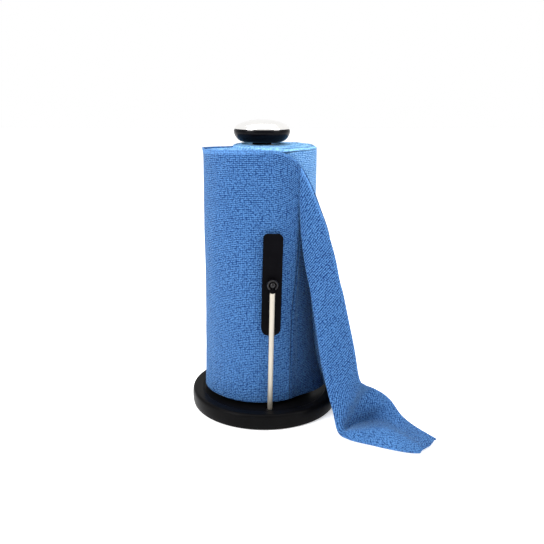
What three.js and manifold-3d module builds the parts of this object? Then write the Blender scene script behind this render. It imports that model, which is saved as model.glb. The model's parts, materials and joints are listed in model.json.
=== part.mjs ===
// Standing paper towel holder: a weighted round dish, a post held by a tie rod, a screw-on knob,
// a sprung arm with a pivoting pad, and the roll with its loose end.
// Millimetres, +Z up. The base's axis is the Z axis, its foot rests on z = 0, and the arm is at -Y.
import * as THREE from "three";
import { mergeVertices } from "three/addons/utils/BufferGeometryUtils.js";
import Module from "manifold-3d";

const wasm = await Module();
wasm.setup();

// ---- driving dimensions ----
const GAP = 0.3;
const BASE_RADIUS = 90;
const RIM_TOP = 19.7;
const FLOOR_TOP = 16.5;
const FLOOR_THICKNESS = 3;
const ROLL_TOP = 314.6;
const INNER_TURNS_TOP = 317.2;
const ROLL_RADIUS = 67.2;
const ROLL_BOTTOM = 20.4;
const CORE_INNER = 21.4;
const CORE_WALL = 1.5;
const POST_RADIUS = 9;
const ROD_RADIUS = 4;
const POST_TOP = 316;
const KNOB_UNDERSIDE = 319.4;
const KNOB_RADIUS = 32.3;
const KNOB_SPLIT = 335;
const KNOB_TOP = 345.4;
const ARM_RADIUS = 2.9;
const PAD_WIDTH = 22.2;
const PAD_HEIGHT = 118.2;
const PAD_DROP = 2.9;

// ---- worked from them ----
const FLOOR_UNDERSIDE = FLOOR_TOP - FLOOR_THICKNESS;
const CORE_OUTER = CORE_INNER + CORE_WALL;
const POST_CENTRE = new THREE.Vector2(-4.2, 0.3);
const ROLL_CENTRE = new THREE.Vector2(-4, 11.4);
const ARM_PIVOT = new THREE.Vector3(0, -61.7, 9);
const BALL_CENTRE = new THREE.Vector3(3.25, -68.5, 168.3);
const ARM_LENGTH = BALL_CENTRE.distanceTo(ARM_PIVOT);
const ARM_DIRECTION = BALL_CENTRE.clone().sub(ARM_PIVOT).normalize();
const PAD_LEAN = Math.atan2(BALL_CENTRE.x, ARM_LENGTH);
const PAD_INNER_FACE = -56.6;
const PAD_FACE_THICKNESS = 1.9;
const PAD_PLATE_THICKNESS = 4;
const PAD_BACK = PAD_INNER_FACE - PAD_FACE_THICKNESS - GAP;

const holder = new THREE.Group();
holder.name = "paper_towel_holder";

// ---- materials ----
function material(colour, roughness, metalness) {
  return new THREE.MeshStandardMaterial({ color: colour, roughness, metalness });
}

const blackPlastic = () => material(0x0b0b0c, 0.38, 0.0);
const steel = () => material(0xb9b8b4, 0.28, 1.0);
const rawSteel = () => material(0x8d8e90, 0.45, 1.0);
const iron = () => material(0x3a3a3c, 0.7, 0.9);
const rubber = () => material(0x121212, 0.85, 0.0);
const brass = () => material(0xb48b45, 0.35, 1.0);
const cardboard = () => material(0x9a7650, 0.9, 0.0);
const cloth = () => material(0x1c3566, 0.95, 0.0);

// ---- geometry helpers ----
function lathe(points, segments) {
  const profile = points.map(([r, z]) => new THREE.Vector2(r, z));
  const geometry = new THREE.LatheGeometry(profile, segments);
  geometry.rotateX(Math.PI / 2);
  return geometry;
}

function cylinder(radius, low, high, segments = 24) {
  return lathe([[0, low], [radius, low], [radius, high], [0, high]], segments);
}

function ring(inner, outer, low, high, segments = 32) {
  return lathe([[inner, low], [outer, low], [outer, high], [inner, high], [inner, low]], segments);
}

function block(low, high) {
  const size = high.map((value, i) => value - low[i]);
  const geometry = new THREE.BoxGeometry(...size);
  return geometry.translate(low[0] + size[0] / 2, low[1] + size[1] / 2, low[2] + size[2] / 2);
}

function toManifold(geometry) {
  const plain = (geometry.index ? geometry.toNonIndexed() : geometry).clone();
  plain.deleteAttribute("normal");
  plain.deleteAttribute("uv");
  const merged = mergeVertices(plain, 1e-4);
  const positions = merged.attributes.position.array;
  const source = merged.index.array;
  const triangles = [];
  for (let i = 0; i < source.length; i += 3) {
    const [a, b, c] = [source[i], source[i + 1], source[i + 2]];
    if (a !== b && b !== c && a !== c) triangles.push(a, b, c);
  }
  let volume = 0;
  const p = (index, axis) => positions[3 * index + axis];
  for (let i = 0; i < triangles.length; i += 3) {
    const [a, b, c] = [triangles[i], triangles[i + 1], triangles[i + 2]];
    volume += p(a, 0) * (p(b, 1) * p(c, 2) - p(b, 2) * p(c, 1));
    volume -= p(a, 1) * (p(b, 0) * p(c, 2) - p(b, 2) * p(c, 0));
    volume += p(a, 2) * (p(b, 0) * p(c, 1) - p(b, 1) * p(c, 0));
  }
  if (volume < 0) {
    for (let i = 0; i < triangles.length; i += 3) {
      [triangles[i + 1], triangles[i + 2]] = [triangles[i + 2], triangles[i + 1]];
    }
  }
  const mesh = new wasm.Mesh({
    numProp: 3,
    vertProperties: new Float32Array(positions),
    triVerts: new Uint32Array(triangles),
  });
  return new wasm.Manifold(mesh);
}

function toGeometry(solid) {
  const mesh = solid.getMesh();
  const geometry = new THREE.BufferGeometry();
  geometry.setAttribute("position", new THREE.BufferAttribute(new Float32Array(mesh.vertProperties), 3));
  geometry.setIndex(new THREE.BufferAttribute(new Uint32Array(mesh.triVerts), 1));
  geometry.computeVertexNormals();
  return geometry;
}

function shape(base, { add = [], cut = [] } = {}) {
  let solid = toManifold(base);
  for (const extra of add) solid = solid.add(toManifold(extra));
  for (const hole of cut) solid = solid.subtract(toManifold(hole));
  return toGeometry(solid);
}

function place(name, geometry, surface) {
  const mesh = new THREE.Mesh(geometry, surface);
  mesh.name = name;
  holder.add(mesh);
}

// A rod of round section swept through points, with both ends closed.
function sweptRod(points, radius, sides) {
  const positions = [];
  const index = [];
  const frameNormal = new THREE.Vector3(1, 0, 0);
  points.forEach((point, i) => {
    const before = points[Math.max(i - 1, 0)];
    const after = points[Math.min(i + 1, points.length - 1)];
    const tangent = after.clone().sub(before).normalize();
    frameNormal.addScaledVector(tangent, -frameNormal.dot(tangent)).normalize();
    const side = tangent.clone().cross(frameNormal);
    for (let k = 0; k < sides; k += 1) {
      const angle = (2 * Math.PI * k) / sides;
      const vertex = point.clone();
      vertex.addScaledVector(frameNormal, radius * Math.cos(angle));
      vertex.addScaledVector(side, radius * Math.sin(angle));
      positions.push(vertex.x, vertex.y, vertex.z);
    }
  });
  for (let i = 0; i + 1 < points.length; i += 1) {
    for (let k = 0; k < sides; k += 1) {
      const [a, b] = [i * sides + k, i * sides + ((k + 1) % sides)];
      index.push(a, b, a + sides, b, b + sides, a + sides);
    }
  }
  const last = (points.length - 1) * sides;
  for (let k = 1; k + 1 < sides; k += 1) {
    index.push(0, k + 1, k);
    index.push(last, last + k, last + k + 1);
  }
  const geometry = new THREE.BufferGeometry();
  geometry.setAttribute("position", new THREE.Float32BufferAttribute(positions, 3));
  geometry.setIndex(index);
  return geometry;
}

// Lays a shape built along +Z from the origin onto the arm's own line.
function alongArm(geometry) {
  const turn = new THREE.Quaternion().setFromUnitVectors(new THREE.Vector3(0, 0, 1), ARM_DIRECTION);
  geometry.applyQuaternion(turn);
  return geometry.translate(ARM_PIVOT.x, ARM_PIVOT.y, ARM_PIVOT.z);
}

// Lays a shape built around the ball's centre onto the pad's leaning frame.
function ontoPad(geometry) {
  geometry.rotateY(PAD_LEAN);
  return geometry.translate(BALL_CENTRE.x, BALL_CENTRE.y, BALL_CENTRE.z);
}

// Moves a shape built around the Z axis onto the post's own axis.
function atPost(geometry) {
  return geometry.translate(POST_CENTRE.x, POST_CENTRE.y, 0);
}

function polar(radius, degrees) {
  const angle = THREE.MathUtils.degToRad(degrees);
  return [radius * Math.cos(angle), radius * Math.sin(angle)];
}

// ---- base ----
const COVER_LOW = 2.8;
const COVER_HIGH = 5.6;
const BOSS_ANGLES = [90, 210, 330];
const BOSS_CIRCLE = 76;
const BRACKET_SCREW_X = 16;

function addHousing() {
  const profile = [
    [86.4, 1.2], [88.9, 1.2], [89.5, 3.0], [90, 8], [BASE_RADIUS, 13.2], [89.8, 16.2], [89.3, 18.2],
    [88.5, 19.3], [87.4, RIM_TOP], [85.5, 19.65], [81, 19.3], [78, 19.0], [76.7, 18.7], [76.2, 18.1],
    [76.0, FLOOR_TOP], [0, FLOOR_TOP], [0, FLOOR_UNDERSIDE],
    [84.6, FLOOR_UNDERSIDE], [86.6, 12], [86.8, 8], [86.4, 1.2],
  ];
  const bosses = BOSS_ANGLES.map((degrees) => {
    const [x, y] = polar(BOSS_CIRCLE, degrees);
    return cylinder(4, COVER_HIGH + GAP, FLOOR_UNDERSIDE + 1, 20).translate(x, y, 0);
  });
  const screwHoles = BOSS_ANGLES.map((degrees) => {
    const [x, y] = polar(BOSS_CIRCLE, degrees);
    return cylinder(1.8, 0, 12.4, 16).translate(x, y, 0);
  });
  const bracketHoles = [-1, 1].map((side) => {
    return cylinder(1.55, 12, 15.8, 16).translate(side * BRACKET_SCREW_X, ARM_PIVOT.y, 0);
  });
  const armSlot = block([-4.2, -68.4, 10], [4.2, -57.9, 20]);
  const rodHole = atPost(cylinder(ROD_RADIUS + 0.4, 12, 18, 40));
  const cut = [...screwHoles, ...bracketHoles, armSlot, rodHole];
  place("base_housing", shape(lathe(profile, 80), { add: bosses, cut }), blackPlastic());
}

function addWeight() {
  const disc = cylinder(70, 6.2, 13.2, 72);
  const nutRoom = atPost(cylinder(13, 5, 14, 48));
  const notch = block([-24, -80, 5], [24, -42, 14]);
  place("base_weight", shape(disc, { cut: [notch, nutRoom] }), iron());
}

function addBottomCover() {
  const holes = [];
  for (const degrees of BOSS_ANGLES) {
    const [x, y] = polar(BOSS_CIRCLE, degrees);
    holes.push(cylinder(4.2, 1, 4.4, 20).translate(x, y, 0));
    holes.push(cylinder(2, 1, 7, 16).translate(x, y, 0));
  }
  holes.push(block([-12, -73, 3.5], [12, -51, 7]));
  place("bottom_cover", shape(cylinder(85.6, COVER_LOW, COVER_HIGH, 72), { cut: holes }), blackPlastic());
  BOSS_ANGLES.forEach((degrees, i) => {
    const [x, y] = polar(BOSS_CIRCLE, degrees);
    const head = cylinder(3.6, COVER_LOW + 0.1, 4.1, 20);
    const shank = cylinder(1.5, 4.0, 11.9, 16);
    const screw = shape(head, { add: [shank] }).translate(x, y, 0);
    place(`cover_screw_${i + 1}`, screw, rawSteel());
  });
}

function addFootPad() {
  const profile = [[0, 0], [83.4, 0], [84, 0.6], [84, 2.5], [0, 2.5]];
  place("foot_pad", shape(lathe(profile, 72)), rubber());
}

function hexPrism(acrossFlats, low, high) {
  return cylinder(acrossFlats / Math.sqrt(3), low, high, 6);
}

function addPost() {
  const rodHole = cylinder(ROD_RADIUS + 0.3, 0, 330, 24);
  place("post_tube", atPost(shape(ring(7.8, POST_RADIUS, FLOOR_TOP + GAP, POST_TOP, 40))), steel());
  place("tie_rod", atPost(shape(cylinder(ROD_RADIUS, 6.4, KNOB_SPLIT - 3, 24))), rawSteel());
  place("base_washer", atPost(shape(ring(ROD_RADIUS + 0.3, 9, 11.8, 13.2, 32))), rawSteel());
  place("base_nut", atPost(shape(hexPrism(13, 6.6, 11.5), { cut: [rodHole] })), rawSteel());
  const bushProfile = [
    [ROD_RADIUS + 0.3, 306], [7.5, 306], [7.5, POST_TOP + GAP], [POST_RADIUS, POST_TOP + GAP],
    [POST_RADIUS, POST_TOP + 1.2], [ROD_RADIUS + 0.3, POST_TOP + 1.2], [ROD_RADIUS + 0.3, 306],
  ];
  place("post_top_bush", atPost(shape(lathe(bushProfile, 32))), blackPlastic());
}

function addBracket() {
  const plate = block([-20, -74, 11.9], [20, -50, 13.2]);
  const ears = [-1, 1].map((side) => {
    const [inside, outside] = [8, 9.5];
    const low = side > 0 ? inside : -outside;
    return block([low, -68, 6.2], [low + outside - inside, -55, 12.5]);
  });
  const pinHole = cylinder(2.3, -30, 30, 20).rotateY(Math.PI / 2).translate(0, ARM_PIVOT.y, ARM_PIVOT.z);
  const armSlot = block([-7.8, -69, 10], [7.8, -54.5, 15]);
  const screwHoles = [-1, 1].map((side) => {
    return cylinder(1.6, 10, 15, 16).translate(side * BRACKET_SCREW_X, ARM_PIVOT.y, 0);
  });
  place("arm_bracket", shape(plate, { add: ears, cut: [pinHole, armSlot, ...screwHoles] }), rawSteel());
  [-1, 1].forEach((side, i) => {
    const head = cylinder(3, 9.9, 11.6, 20);
    const screw = shape(head, { add: [cylinder(1.25, 11.5, 15.4, 16)] });
    place(`bracket_screw_${i + 1}`, screw.translate(side * BRACKET_SCREW_X, ARM_PIVOT.y, 0), rawSteel());
  });
  const pinProfile = [[0, -11.4], [2.8, -11.4], [2.8, -10], [2, -10], [2, 11.2], [0, 11.2]];
  const pin = lathe(pinProfile, 24).rotateY(Math.PI / 2).translate(0, ARM_PIVOT.y, ARM_PIVOT.z);
  place("arm_pivot_pin", shape(pin), rawSteel());
}

function addSpring() {
  const points = [];
  const coilRadius = 3.35;
  const turns = 3;
  const steps = turns * 14;
  points.push(new THREE.Vector3(7.3, ARM_PIVOT.y + coilRadius, ARM_PIVOT.z + 2.2));
  for (let i = 0; i <= steps; i += 1) {
    const angle = (-2 * Math.PI * turns * i) / steps;
    const x = 7.3 - (3.0 * i) / steps;
    const y = ARM_PIVOT.y + coilRadius * Math.cos(angle);
    points.push(new THREE.Vector3(x, y, ARM_PIVOT.z + coilRadius * Math.sin(angle)));
  }
  points.push(new THREE.Vector3(4.3, ARM_PIVOT.y + coilRadius, ARM_PIVOT.z - 3.2));
  place("torsion_spring", shape(sweptRod(points, 0.35, 8)), rawSteel());
}

// ---- arm ----
function addArm() {
  const hubBarrel = cylinder(5.2, -3.5, 3.5, 32).rotateY(Math.PI / 2);
  const pinHole = cylinder(2.1, -6, 6, 24).rotateY(Math.PI / 2);
  const rodSeat = cylinder(ARM_RADIUS + 0.2, 2.9, 8, 24);
  const hub = shape(hubBarrel, { cut: [pinHole, rodSeat] });
  place("arm_hub", hub.translate(ARM_PIVOT.x, ARM_PIVOT.y, ARM_PIVOT.z), rawSteel());

  const rodEnd = ARM_LENGTH - 9.4;
  place("arm_rod", shape(alongArm(cylinder(ARM_RADIUS, 3.1, rodEnd, 28))), steel());

  const tipProfile = [
    [0, rodEnd + GAP], [3.15, rodEnd + GAP], [3.15, rodEnd + 3.2], [2.3, ARM_LENGTH - 4.4], [0, ARM_LENGTH - 4.4],
  ];
  const stemHole = cylinder(1.7, rodEnd + 1.5, ARM_LENGTH, 16);
  place("arm_tip", shape(alongArm(lathe(tipProfile, 24)), { cut: [alongArm(stemHole)] }), blackPlastic());

  const ball = new THREE.SphereGeometry(3.9, 24, 16).rotateX(Math.PI / 2).translate(0, 0, ARM_LENGTH);
  const stem = cylinder(1.4, rodEnd + 1.8, ARM_LENGTH, 16);
  place("ball_stud", shape(alongArm(ball), { add: [alongArm(stem)] }), blackPlastic());
}

// ---- pad ----
function roundedPlate(width, height, topRadius, bottomRadius, thickness, bevel) {
  const half = width / 2;
  const [low, high] = [-height / 2, height / 2];
  const outline = new THREE.Shape();
  outline.moveTo(-half + bottomRadius, low);
  outline.lineTo(half - bottomRadius, low);
  outline.absarc(half - bottomRadius, low + bottomRadius, bottomRadius, -Math.PI / 2, 0, false);
  outline.lineTo(half, high - topRadius);
  outline.absarc(half - topRadius, high - topRadius, topRadius, 0, Math.PI / 2, false);
  outline.lineTo(-half + topRadius, high);
  outline.absarc(-half + topRadius, high - topRadius, topRadius, Math.PI / 2, Math.PI, false);
  outline.lineTo(-half, low + bottomRadius);
  outline.absarc(-half + bottomRadius, low + bottomRadius, bottomRadius, Math.PI, 1.5 * Math.PI, false);
  const geometry = new THREE.ExtrudeGeometry(outline, {
    depth: thickness - 2 * bevel,
    bevelEnabled: true,
    bevelThickness: bevel,
    bevelSize: bevel,
    bevelOffset: -bevel,
    bevelSegments: 2,
    curveSegments: 8,
  });
  geometry.translate(0, 0, bevel);
  return geometry.rotateX(Math.PI / 2);
}

function addPad() {
  const plate = roundedPlate(PAD_WIDTH, PAD_HEIGHT, 5.5, 9, PAD_PLATE_THICKNESS, 0.9);
  const backOffset = PAD_BACK - BALL_CENTRE.y;
  place("pad_plate", shape(ontoPad(plate.translate(0, backOffset, -PAD_DROP))), blackPlastic());

  const face = roundedPlate(PAD_WIDTH - 1.6, PAD_HEIGHT - 1.6, 4.7, 8.2, PAD_FACE_THICKNESS, 0.4);
  place("pad_face", shape(ontoPad(face.translate(0, PAD_INNER_FACE - BALL_CENTRE.y, -PAD_DROP))), rubber());

  const frontOfPlate = backOffset - PAD_PLATE_THICKNESS - GAP;
  const collar = cylinder(6.6, -frontOfPlate, 3.1, 36).rotateX(Math.PI / 2);
  const socket = new THREE.SphereGeometry(4.2, 24, 16);
  const mouth = cylinder(3.7, 0, 9, 28).rotateX(Math.PI / 2);
  const neckSlot = block([-3.5, -9, -9], [3.5, 3.9, 0]);
  const cup = shape(collar, { cut: [socket, mouth, neckSlot] });
  place("socket_ring", ontoPad(cup), blackPlastic());
}

// ---- knob ----
function domeRadius(z, radius, low, high) {
  const t = (z - low) / (high - low);
  return radius * Math.pow(Math.max(0, 1 - Math.pow(t, 1.75)), 1 / 2.1);
}

function domePoints(radius, low, high, steps) {
  const points = [];
  for (let i = 0; i <= steps; i += 1) {
    const t = Math.sin((i / steps) * (Math.PI / 2));
    const z = low + (high - low) * t;
    points.push([i === steps ? 0 : domeRadius(z, radius, low, high), z]);
  }
  return points;
}

function addKnob() {
  const glide = ring(ROD_RADIUS + 0.4, 11, POST_TOP + 1.5, KNOB_UNDERSIDE - GAP, 32);
  place("knob_glide", atPost(shape(glide)), blackPlastic());

  const flank = [
    [7.4, KNOB_UNDERSIDE], [22.0, KNOB_UNDERSIDE], [24.8, 320.4], [27.6, 322.6], [30.0, 325.6], [31.6, 328.8],
    [KNOB_RADIUS, 331.6], [32.2, 333.4], [31.6, KNOB_SPLIT - 0.3], [29.4, KNOB_SPLIT - 0.3],
  ];
  const underDome = domePoints(29.4, KNOB_SPLIT - 0.2, KNOB_TOP - 1.5, 10);
  const body = [...flank, ...underDome, [0, KNOB_SPLIT - 1.7], [7.4, KNOB_SPLIT - 1.7], [7.4, KNOB_UNDERSIDE]];
  place("knob_body", atPost(shape(lathe(body, 56))), blackPlastic());

  const outer = domePoints(31.3, KNOB_SPLIT, KNOB_TOP, 12);
  const inner = domePoints(29.8, KNOB_SPLIT, KNOB_TOP - 1.1, 10).reverse();
  const cap = [...outer, ...inner, outer[0]];
  place("knob_cap", atPost(shape(lathe(cap, 56))), steel());

  const insertHole = cylinder(ROD_RADIUS + 0.3, 318, KNOB_SPLIT - 2.6, 24);
  const insert = shape(hexPrism(12, KNOB_UNDERSIDE + GAP, KNOB_SPLIT - 2), { cut: [insertHole] });
  place("knob_insert", atPost(insert), brass());
}

// ---- roll ----
function addRoll() {
  const [x, y] = [ROLL_CENTRE.x, ROLL_CENTRE.y];
  const core = ring(CORE_INNER, CORE_OUTER, 17.0, 315, 64);
  place("roll_core", shape(core.translate(x, y, 0)), cardboard());
  const profile = [
    [CORE_OUTER + GAP, 17.4], [46, 17.4], [54, 18.6], [60, ROLL_BOTTOM], [66.2, ROLL_BOTTOM], [ROLL_RADIUS, 21.6],
    [ROLL_RADIUS, 313], [66.4, 314.2], [65, ROLL_TOP], [44, 315.6], [36, INNER_TURNS_TOP],
    [CORE_OUTER + GAP, INNER_TURNS_TOP], [CORE_OUTER + GAP, 17.4],
  ];
  place("towel_roll", shape(lathe(profile, 72).translate(x, y, 0)), cloth());
}

// Levels of the loose end: height, half thickness, then the inner edge, the front fold and the outer edge.
const SHEET_LEVELS = [
  [1.2, 1.5, [118, -40], [84, -114], [178, -140]],
  [10, 1.6, [112, -38], [77, -102], [164, -122]],
  [20, 1.6, [103, -32], [72, -95], [136, -100]],
  [38, 1.6, [88, -24], [67.5, -90.5], [110, -89]],
  [55, 1.6, [76, -20], [64, -86], [102, -85]],
  [77, 1.6, [68, -20], [59, -80], [98, -83]],
  [100, 1.6, [63, -22], [55, -75], [94, -80]],
  [126, 1.6, [60, -24], [51, -71], [89, -78]],
  [153, 1.6, [57.5, -27], [48, -66], [83.5, -75]],
  [182, 1.5, [55.5, -29.5], [43.5, -61.5], [76, -71]],
  [208, 1.4, [52.5, -33], [39.5, -56.5], [69, -67.5]],
  [239, 1.2, [47.5, -39], [36.5, -53], [60, -63]],
  [262, 1.0, [44.2, -42], [35.6, -51.4], [51.5, -58]],
  [280, 0.8, [40.4, -43.8], [35.4, -50.8], [43, -54]],
];

// One level's closed loop: a smooth curve through the three points, offset to both sides.
function sheetLoop(z, half, points) {
  const corners = points.map(([x, y]) => new THREE.Vector2(x, y));
  const samples = [];
  const count = 12;
  const [inner, fold, outer] = corners;
  const before = inner.clone().lerp(fold, 0.72);
  const after = fold.clone().lerp(outer, 0.28);
  for (let i = 0; i < 4; i += 1) samples.push(inner.clone().lerp(before, i / 4));
  for (let i = 0; i <= count - 4; i += 1) {
    const t = i / (count - 4);
    const a = before.clone().multiplyScalar((1 - t) * (1 - t));
    a.addScaledVector(fold, 2 * t * (1 - t));
    a.addScaledVector(after, t * t);
    samples.push(a);
  }
  for (let i = 1; i <= 4; i += 1) samples.push(after.clone().lerp(outer, i / 4));
  const left = [];
  const right = [];
  samples.forEach((point, i) => {
    const next = samples[Math.min(i + 1, samples.length - 1)];
    const previous = samples[Math.max(i - 1, 0)];
    const along = next.clone().sub(previous).normalize();
    const normal = new THREE.Vector2(-along.y, along.x);
    left.push([point.x + half * normal.x, point.y + half * normal.y, z]);
    right.push([point.x - half * normal.x, point.y - half * normal.y, z]);
  });
  return [...left, ...right.reverse()];
}

function addLooseSheet() {
  const loops = SHEET_LEVELS.map(([z, half, ...points]) => sheetLoop(z, half, points));
  const count = loops[0].length;
  const positions = loops.flat(2);
  const index = [];
  for (let level = 0; level + 1 < loops.length; level += 1) {
    for (let k = 0; k < count; k += 1) {
      const [a, b] = [level * count + k, level * count + ((k + 1) % count)];
      index.push(a, b, a + count, b, b + count, a + count);
    }
  }
  const last = (loops.length - 1) * count;
  for (let k = 0; k + 1 < count / 2; k += 1) {
    const [a, b, c, d] = [k, k + 1, count - 2 - k, count - 1 - k];
    index.push(a, c, b, a, d, c);
    index.push(last + a, last + b, last + c, last + a, last + c, last + d);
  }
  const geometry = new THREE.BufferGeometry();
  geometry.setAttribute("position", new THREE.Float32BufferAttribute(positions, 3));
  geometry.setIndex(index);
  place("loose_sheet", shape(geometry), cloth());
}

addHousing();
addWeight();
addBottomCover();
addFootPad();
addPost();
addBracket();
addSpring();
addArm();
addPad();
addKnob();
addRoll();
addLooseSheet();

export default holder;
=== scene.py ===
"""Looks for the standing towel holder: smooth shells, the wound cloth and its loose end."""
import json
import math
import bmesh
import bpy
import numpy as np
from mathutils import Matrix, Vector


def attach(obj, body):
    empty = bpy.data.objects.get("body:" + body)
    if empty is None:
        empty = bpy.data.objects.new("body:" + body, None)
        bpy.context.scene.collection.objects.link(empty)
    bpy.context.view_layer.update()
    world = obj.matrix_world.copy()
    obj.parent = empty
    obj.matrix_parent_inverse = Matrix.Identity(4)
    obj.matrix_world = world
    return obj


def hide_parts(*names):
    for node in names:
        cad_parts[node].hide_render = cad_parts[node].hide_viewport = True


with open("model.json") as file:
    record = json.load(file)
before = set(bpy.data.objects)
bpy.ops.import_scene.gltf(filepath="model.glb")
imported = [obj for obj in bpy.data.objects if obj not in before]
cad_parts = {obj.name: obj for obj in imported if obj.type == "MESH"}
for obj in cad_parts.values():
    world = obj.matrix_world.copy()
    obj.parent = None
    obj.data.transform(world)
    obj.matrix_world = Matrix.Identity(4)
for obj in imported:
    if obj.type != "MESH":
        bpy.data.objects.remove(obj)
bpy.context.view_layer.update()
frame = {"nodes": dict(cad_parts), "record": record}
MM = 0.001

# ---- sizes shared with the frame, in millimetres ----
POST_X, POST_Y = -4.2, 0.3
ROLL_X, ROLL_Y = -4.0, 11.4
WRAP_RADIUS = 67.4
ROLL_BOTTOM = 20.4
ARM_PIVOT = np.array([0.0, -61.7, 9.0])
ARM_FOOT = np.array([1.5, -61.7, 9.0])
BALL_CENTRE = np.array([3.25, -68.5, 168.3])
ARM_LENGTH = float(np.linalg.norm(BALL_CENTRE - ARM_PIVOT))
PAD_LEAN = math.atan2(3.25, ARM_LENGTH)
PAD_DROP = 2.9
KNOB_SPLIT, KNOB_TOP = 335.0, 345.4


# ---- mesh building ----
def make_piece(name, verts, faces, material, body, uv=None, sharp=40.0, masks=None):
    """A mesh object from millimetre points and index arrays; masks are named values, one per point."""
    faces = faces if isinstance(faces, list) else [faces]
    mesh = bpy.data.meshes.new(name)
    sizes = np.concatenate([np.full(len(f), f.shape[1]) for f in faces])
    loops = np.concatenate([f.ravel() for f in faces]).astype(np.int32)
    mesh.vertices.add(len(verts))
    mesh.vertices.foreach_set("co", (np.asarray(verts, float) * MM).ravel())
    mesh.loops.add(len(loops))
    mesh.loops.foreach_set("vertex_index", loops)
    mesh.polygons.add(len(sizes))
    starts = np.concatenate([[0], np.cumsum(sizes)[:-1]])
    mesh.polygons.foreach_set("loop_start", starts.astype(np.int32))
    mesh.update(calc_edges=True)
    if uv is not None:
        layer = mesh.uv_layers.new(name="cloth")
        layer.data.foreach_set("uv", (np.asarray(uv, float) * MM)[loops].ravel())
    for label, values in (masks or {}).items():
        attribute = mesh.attributes.new(label, "FLOAT", "POINT")
        attribute.data.foreach_set("value", np.asarray(values, float).ravel())
    mesh.validate()
    mesh.polygons.foreach_set("use_smooth", np.ones(len(mesh.polygons), bool))
    if sharp:
        mesh.set_sharp_from_angle(angle=math.radians(sharp))
    piece = bpy.data.objects.new(name, mesh)
    bpy.context.scene.collection.objects.link(piece)
    mesh.materials.append(material)
    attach(piece, body)
    return piece


def grid_faces(rows, cols, wrap=False, offset=0):
    """Quads of a rows x cols grid of points; with wrap the last column joins the first."""
    r, c = np.meshgrid(np.arange(rows - 1), np.arange(cols if wrap else cols - 1), indexing="ij")
    nxt = (c + 1) % cols
    quad = np.stack([r * cols + c, r * cols + nxt, (r + 1) * cols + nxt, (r + 1) * cols + c], -1)
    return quad.reshape(-1, 4) + offset


def spline_weights(count, samples):
    """Catmull-Rom weights: row i gives the share of each of count control points at samples[i]."""
    samples = np.clip(np.asarray(samples, float), 0, count - 1)
    seg = np.minimum(samples.astype(int), count - 2)
    f = samples - seg
    shares = [
        (-f + 2 * f**2 - f**3) / 2,
        (2 - 5 * f**2 + 3 * f**3) / 2,
        (f + 4 * f**2 - 3 * f**3) / 2,
        (-f**2 + f**3) / 2,
    ]
    weights = np.zeros((len(samples), count))
    rows = np.arange(len(samples))
    for k, share in enumerate(shares):
        np.add.at(weights, (rows, np.clip(seg + k - 1, 0, count - 1)), share)
    return weights


def soften(points, radius, steps=5):
    """A profile with each inner corner replaced by a parabola that starts and ends radius away from it."""
    points = np.asarray(points, float)
    a, b, c = points[:-2], points[1:-1], points[2:]
    before, after = a - b, c - b
    len_a = np.linalg.norm(before, axis=1, keepdims=True)
    len_c = np.linalg.norm(after, axis=1, keepdims=True)
    reach = np.broadcast_to(np.asarray(radius, float).reshape(-1, 1), len_a.shape)
    start = b + before / len_a * np.minimum(reach, 0.48 * len_a)
    end = b + after / len_c * np.minimum(reach, 0.48 * len_c)
    t = np.linspace(0, 1, steps)[None, :, None]
    curve = (1 - t) ** 2 * start[:, None] + 2 * t * (1 - t) * b[:, None] + t**2 * end[:, None]
    return np.vstack([points[:1], curve.reshape(-1, 2), points[-1:]])


def revolve(profile, segments=160, closed=False):
    """Points (r cos a, r sin a, z) for each profile point and angle; ends on the axis become one point."""
    profile = np.asarray(profile, float)
    angle = np.linspace(0, 2 * np.pi, segments, endpoint=False)
    body = profile if closed else profile[1:-1]
    ring = np.stack([
        body[:, :1] * np.cos(angle),
        body[:, :1] * np.sin(angle),
        np.broadcast_to(body[:, 1:], (len(body), segments)),
    ], -1)
    verts = ring.reshape(-1, 3)
    if closed:
        loop = np.vstack([grid_faces(len(body), segments, True)])
        k = np.arange(segments)
        last = (len(body) - 1) * segments
        join = np.stack([last + k, last + (k + 1) % segments, (k + 1) % segments, k], -1)
        return verts, [np.vstack([loop, join])]
    low, high = len(verts), len(verts) + 1
    verts = np.vstack([verts, [[0, 0, profile[0, 1]]], [[0, 0, profile[-1, 1]]]])
    k = np.arange(segments)
    nxt = (k + 1) % segments
    last = (len(body) - 1) * segments
    bottom = np.stack([np.full(segments, low), nxt, k], -1)
    top = np.stack([np.full(segments, high), last + k, last + nxt], -1)
    return verts, [grid_faces(len(body), segments, True), np.vstack([bottom, top])]


def onto_line(verts, origin, direction):
    """Points built along +Z from zero, turned and moved onto a line."""
    turn = Vector((0, 0, 1)).rotation_difference(Vector(direction)).to_matrix()
    return np.asarray(verts) @ np.array(turn).T + origin


def onto_pad(verts):
    """Points built round the ball's centre, leant sideways with the pad."""
    c, s = math.cos(PAD_LEAN), math.sin(PAD_LEAN)
    turn = np.array([[c, 0, s], [0, 1, 0], [-s, 0, c]])
    return np.asarray(verts) @ turn.T + BALL_CENTRE


# ---- shader groups ----
def group(name, inputs, outputs):
    """An empty shader group with named sockets; returns the tree and its two end nodes."""
    tree = bpy.data.node_groups.new(name, "ShaderNodeTree")
    for label, kind, value in inputs:
        socket = tree.interface.new_socket(name=label, in_out="INPUT", socket_type=kind)
        if value is not None:
            socket.default_value = value
    for label, kind in outputs:
        tree.interface.new_socket(name=label, in_out="OUTPUT", socket_type=kind)
    return tree, tree.nodes.new("NodeGroupInput"), tree.nodes.new("NodeGroupOutput")


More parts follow.
